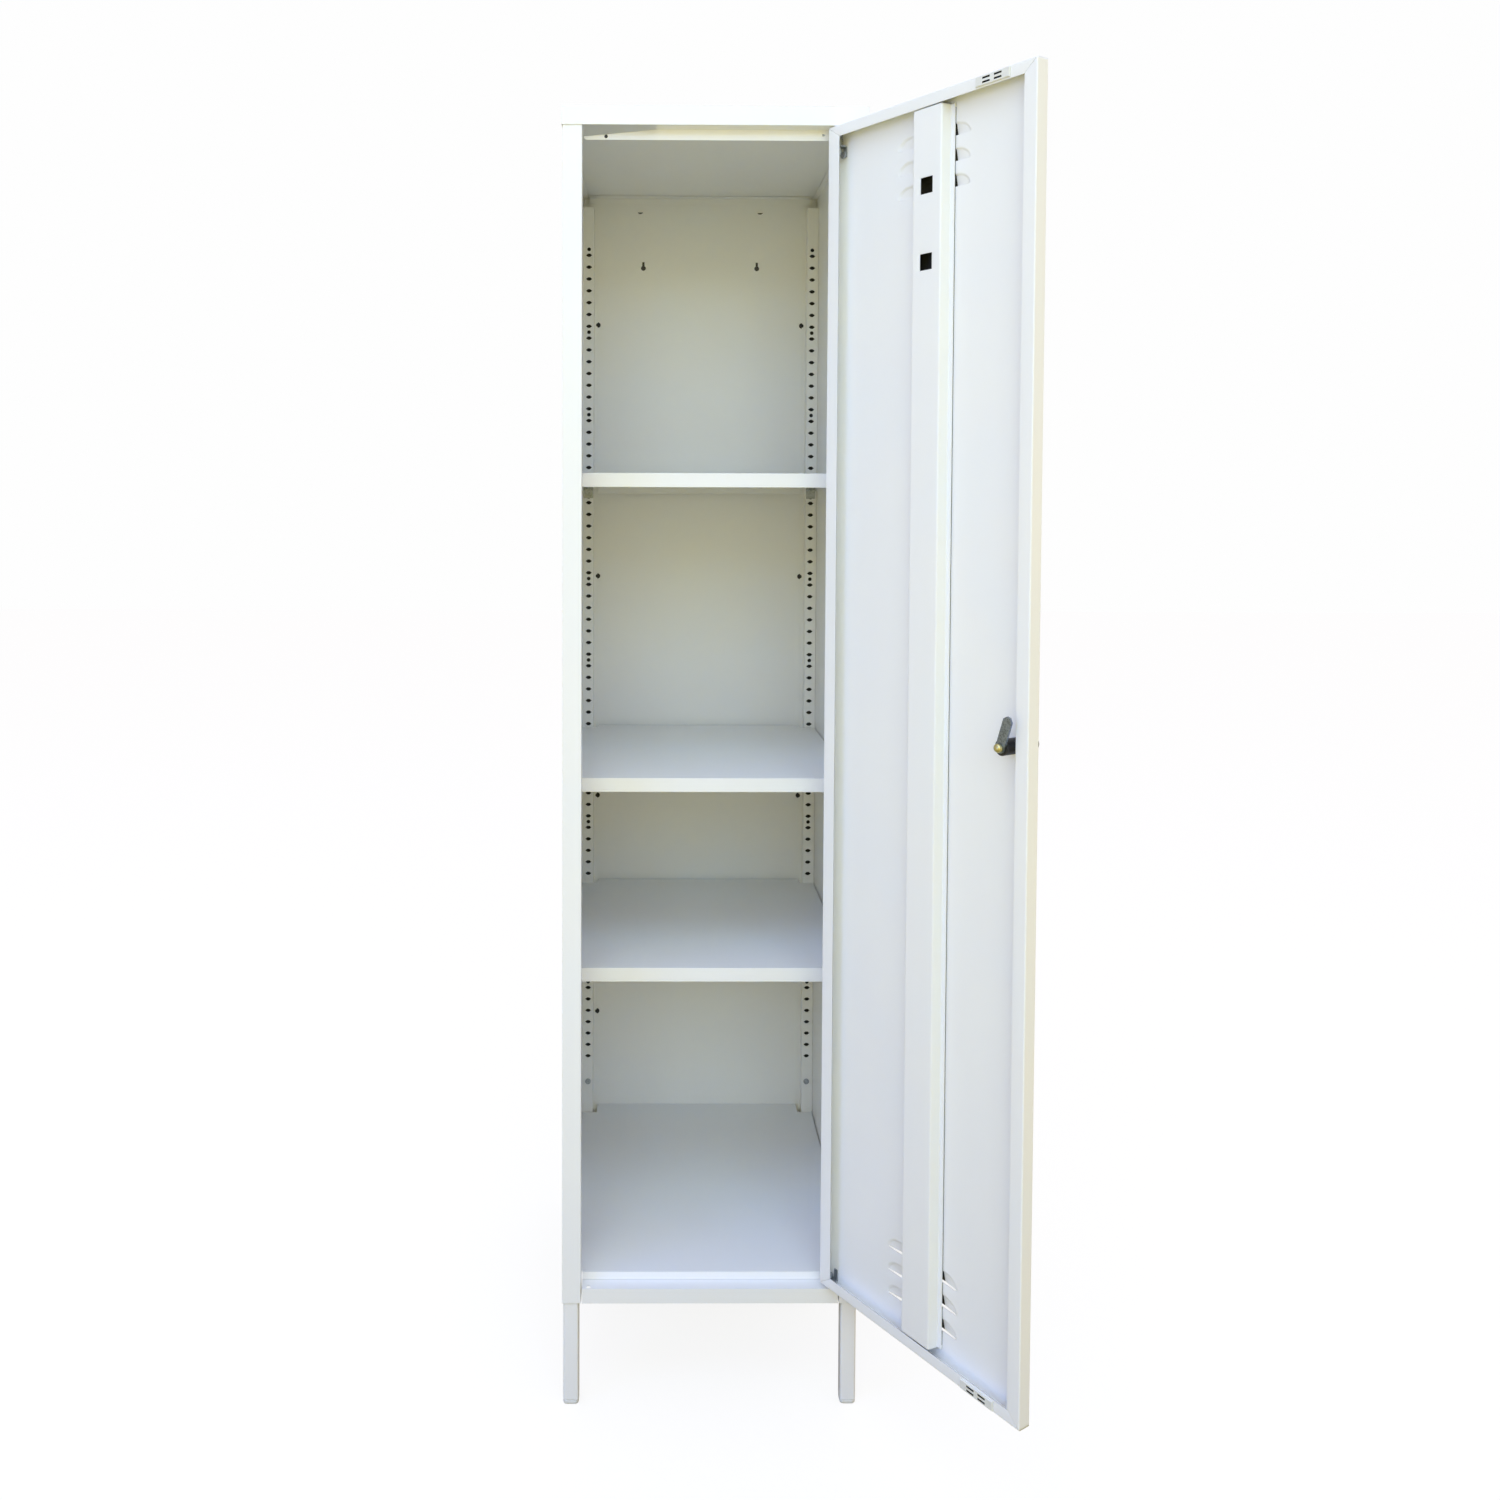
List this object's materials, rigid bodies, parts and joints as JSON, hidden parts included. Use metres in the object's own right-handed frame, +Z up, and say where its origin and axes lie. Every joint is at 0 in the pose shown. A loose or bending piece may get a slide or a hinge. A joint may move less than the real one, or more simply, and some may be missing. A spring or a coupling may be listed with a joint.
{
  "type": "locker cabinet",
  "caption": "Tall narrow steel locker on legs with shelves, slotted uprights and a louvred hinged door standing open.",
  "frame": {"origin": "bottom centre of the whole locker with its door at rest, on the floor, to the nearest millimetre", "axes": "+Z up, +X to the hinge side as seen from the front, +Y from the door side into the locker"},
  "size_m": [0.5384, 0.7701, 1.655],
  "materials": {
    "white_powder_coat": "glossy powder coat",
    "zinc_plated_steel": "zinc plated",
    "dark_steel": "dull zinc plated",
    "brass": "polished",
    "black_nylon": "fine satin",
    "white_plastic": "moulded"
  },
  "bodies": {
    "cabinet": {"back_panel": "white_powder_coat", "bottom_front_rail": "white_powder_coat", "floor_panel": "white_powder_coat", "front_left_foot": "white_plastic", "front_left_leg": "white_powder_coat", "front_right_foot": "white_plastic", "front_right_leg": "white_powder_coat", "left_front_upright": "white_powder_coat", "left_rear_upright": "white_powder_coat", "left_side_panel": "white_powder_coat", "left_upright_screw": "zinc_plated_steel", "lower_shelf": "white_powder_coat", "lower_shelf_clip_front_left": "zinc_plated_steel", "lower_shelf_clip_front_right": "zinc_plated_steel", "lower_shelf_clip_rear_left": "zinc_plated_steel", "lower_shelf_clip_rear_right": "zinc_plated_steel", "middle_shelf": "white_powder_coat", "middle_shelf_clip_front_left": "zinc_plated_steel", "middle_shelf_clip_front_right": "zinc_plated_steel", "middle_shelf_clip_rear_left": "zinc_plated_steel", "middle_shelf_clip_rear_right": "zinc_plated_steel", "rear_left_foot": "white_plastic", "rear_left_leg": "white_powder_coat", "rear_right_foot": "white_plastic", "rear_right_leg": "white_powder_coat", "rear_top_angle": "white_powder_coat", "right_front_upright": "white_powder_coat", "right_rear_upright": "white_powder_coat", "right_side_panel": "white_powder_coat", "right_upright_screw": "zinc_plated_steel", "top_cap": "white_powder_coat", "top_stop_rail": "white_powder_coat", "upper_shelf": "white_powder_coat", "upper_shelf_clip_front_left": "zinc_plated_steel", "upper_shelf_clip_front_right": "zinc_plated_steel", "upper_shelf_clip_rear_left": "zinc_plated_steel", "upper_shelf_clip_rear_right": "zinc_plated_steel"},
    "door": {"door_panel": "white_powder_coat", "door_stiffener": "white_powder_coat", "top_catch": "white_plastic", "bottom_catch": "white_plastic", "top_hinge_bracket": "zinc_plated_steel", "top_hinge_spring": "zinc_plated_steel", "bottom_hinge_bracket": "zinc_plated_steel", "bottom_hinge_pin": "zinc_plated_steel", "bottom_hinge_washer": "white_plastic", "lock_barrel": "black_nylon", "lock_rose": "black_nylon"},
    "latch": {"lock_cam": "dark_steel", "cam_nut": "brass", "turn_handle": "black_nylon"},
    "hinge_pin": {"top_hinge_pin": "zinc_plated_steel"}
  },
  "joints": [
    {"name": "door_hinge", "type": "hinge", "parent": "cabinet", "child": "door", "pos_m": [0.078, -0.111, 0.9], "axis": [0, 0, 1], "range_deg": [-123.5, 0]},
    {"name": "latch_turn", "type": "hinge", "parent": "door", "child": "latch", "pos_m": [0.24168, -0.34923, 0.9], "axis": [0.8339, 0.5519, 0], "range_deg": [-18.5, 71.5]},
    {"name": "top_pin_slide", "type": "slide", "parent": "door", "child": "hinge_pin", "axis": [0, 0, -1], "range_m": [0, 0.008], "stiffness_N_per_m": 400, "deforming": ["top_hinge_spring"]}
  ]
}
